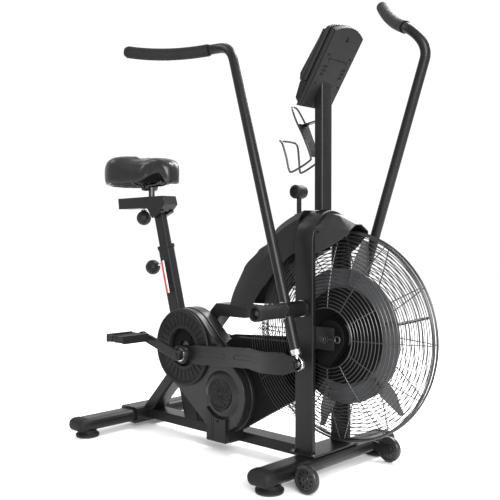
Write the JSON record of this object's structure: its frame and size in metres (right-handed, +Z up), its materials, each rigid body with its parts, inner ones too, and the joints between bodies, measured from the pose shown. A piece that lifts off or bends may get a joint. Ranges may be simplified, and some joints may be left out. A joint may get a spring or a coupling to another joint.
{
  "type": "air bike",
  "caption": "Fan-braked exercise bike with swinging handles linked to the pedal cranks, a caged fan wheel, a height-adjustable saddle and a small console.",
  "frame": {"origin": "floor level, under the middle of the bike", "axes": "+X forward towards the fan, +Y to the rider's left, +Z up"},
  "size_m": [1.3188, 0.6408, 1.4163],
  "materials": {
    "frame_paint": "satin black paint",
    "textured_plastic": "fine-grained black moulding",
    "rubber": "matt black rubber",
    "bright_steel": "zinc-plated steel",
    "dark_steel": "darkened steel",
    "fan_paint": "dark grey paint",
    "vinyl": "glossy black upholstery vinyl",
    "tread": "glossy black moulding",
    "display": "tinted window",
    "button": "red moulding",
    "wire": "black-coated wire"
  },
  "bodies": {
    "frame": {"front_stabilizer": "frame_paint", "rear_stabilizer": "frame_paint", "main_beam": "frame_paint", "front_foot_right": "rubber", "front_foot_left": "rubber", "rear_foot_right": "rubber", "rear_foot_left": "rubber", "diagonal_strut": "frame_paint", "seat_tube": "frame_paint", "upper_beam": "frame_paint", "fork": "frame_paint", "mast": "frame_paint", "guard_right": "wire", "guard_left": "wire", "rear_shroud": "textured_plastic", "top_cover": "textured_plastic", "chain_case_outer": "textured_plastic", "fan_chain_case": "textured_plastic", "crank_cover": "textured_plastic", "vent_cover": "textured_plastic", "pedestal_bracket": "frame_paint", "crank_chain": "dark_steel", "fan_chain": "dark_steel", "crank_bearing_right": "bright_steel", "crank_bearing_left": "bright_steel", "foot_peg_right": "rubber", "foot_peg_left": "rubber", "console_housing": "textured_plastic", "console_display": "display", "bottle_cage": "frame_paint"},
    "crank": {"crank_axle": "bright_steel", "chainring": "dark_steel", "crank_arm_right": "dark_steel", "crank_arm_left": "dark_steel", "pedal_arm_right": "frame_paint", "pedal_arm_left": "frame_paint"},
    "jackshaft": {"jackshaft": "dark_steel"},
    "fan": {"fan_wheel": "fan_paint", "fan_axle": "bright_steel"},
    "link_right": {"link_right": "frame_paint"},
    "link_left": {"link_left": "frame_paint"},
    "handle_right": {"handle_right": "frame_paint", "grip_right": "rubber", "rod_end_right": "bright_steel"},
    "handle_left": {"handle_left": "frame_paint", "grip_left": "rubber", "rod_end_left": "bright_steel"},
    "pedal_right": {"pedal_right": "textured_plastic"},
    "pedal_left": {"pedal_left": "textured_plastic"},
    "wheel_right": {"transport_wheel_right": "tread"},
    "wheel_left": {"transport_wheel_left": "tread"},
    "seat_post": {"seat_post": "frame_paint", "seat_carriage": "frame_paint"},
    "saddle": {"saddle_clamp": "dark_steel", "saddle": "vinyl"},
    "height_knob": {"seat_height_knob": "textured_plastic"},
    "slide_knob": {"saddle_slide_knob": "textured_plastic"},
    "fan_lock": {"fan_lock_plunger": "textured_plastic"},
    "button_right": {"console_button_right": "button"},
    "button_left": {"console_button_left": "button"}
  },
  "joints": [
    {"name": "crank_spin", "type": "hinge", "parent": "frame", "child": "crank", "pos_m": [-0.1994, 0, 0.305], "axis": [0, 1, 0], "continuous": true},
    {"name": "jackshaft_spin", "type": "hinge", "parent": "frame", "child": "jackshaft", "pos_m": [-0.0394, 0, 0.186], "axis": [0, 1, 0], "continuous": true},
    {"name": "fan_spin", "type": "hinge", "parent": "frame", "child": "fan", "pos_m": [0.3606, 0, 0.397], "axis": [0, 1, 0], "continuous": true},
    {"name": "link_right_turn", "type": "hinge", "parent": "crank", "child": "link_right", "pos_m": [-0.15641, -0.131, 0.30387], "axis": [0, 1, 0], "continuous": true},
    {"name": "link_left_turn", "type": "hinge", "parent": "crank", "child": "link_left", "pos_m": [-0.24239, 0.131, 0.30613], "axis": [0, 1, 0], "continuous": true},
    {"name": "handle_right_swing", "type": "hinge", "parent": "frame", "child": "handle_right", "pos_m": [0.2926, -0.163, 0.476], "axis": [0, 1, 0], "range_deg": [0, 34]},
    {"name": "handle_left_swing", "type": "hinge", "parent": "frame", "child": "handle_left", "pos_m": [0.2926, 0.163, 0.476], "axis": [0, 1, 0], "range_deg": [-34, 0]},
    {"name": "pedal_right_turn", "type": "hinge", "parent": "crank", "child": "pedal_right", "pos_m": [-0.32352, -0.23, 0.34993], "axis": [0, 1, 0], "continuous": true},
    {"name": "pedal_left_turn", "type": "hinge", "parent": "crank", "child": "pedal_left", "pos_m": [-0.07528, 0.23, 0.26007], "axis": [0, 1, 0], "continuous": true},
    {"name": "wheel_right_roll", "type": "hinge", "parent": "frame", "child": "wheel_right", "pos_m": [0.3896, -0.1955, 0.0395], "axis": [0, 1, 0], "continuous": true},
    {"name": "wheel_left_roll", "type": "hinge", "parent": "frame", "child": "wheel_left", "pos_m": [0.3896, 0.1955, 0.0395], "axis": [0, 1, 0], "continuous": true},
    {"name": "seat_height", "type": "slide", "parent": "frame", "child": "seat_post", "axis": [-0.2672, 0, 0.9636], "range_m": [-0.08, 0.14]},
    {"name": "saddle_slide", "type": "slide", "parent": "seat_post", "child": "saddle", "axis": [1, 0, 0], "range_m": [-0.078, 0.033]},
    {"name": "seat_height_knob_pull", "type": "slide", "parent": "frame", "child": "height_knob", "axis": [-0.9636, 0, -0.2672], "range_m": [0, 0.01], "stiffness_N_per_m": 800, "springref_m": -0.005},
    {"name": "saddle_slide_knob_pull", "type": "slide", "parent": "seat_post", "child": "slide_knob", "axis": [0, 0, -1], "range_m": [0, 0.01], "stiffness_N_per_m": 800, "springref_m": -0.005},
    {"name": "fan_lock_push", "type": "slide", "parent": "frame", "child": "fan_lock", "axis": [0, 0, -1], "range_m": [0, 0.018], "stiffness_N_per_m": 600, "springref_m": -0.005},
    {"name": "console_button_right_push", "type": "slide", "parent": "frame", "child": "button_right", "axis": [0.9371, 0, -0.349], "range_m": [0, 0.0018], "stiffness_N_per_m": 500, "springref_m": -0.001},
    {"name": "console_button_left_push", "type": "slide", "parent": "frame", "child": "button_left", "axis": [0.9371, 0, -0.349], "range_m": [0, 0.0018], "stiffness_N_per_m": 500, "springref_m": -0.001}
  ],
  "couplings": [
    {"joint": "jackshaft_spin", "follows": "crank_spin", "ratio": 2.8571},
    {"joint": "fan_spin", "follows": "crank_spin", "ratio": 8.5714},
    {"joint": "link_right_turn", "follows": "crank_spin", "ratio": -1},
    {"joint": "link_left_turn", "follows": "crank_spin", "ratio": -1},
    {"joint": "handle_left_swing", "follows": "handle_right_swing", "ratio": -1}
  ]
}
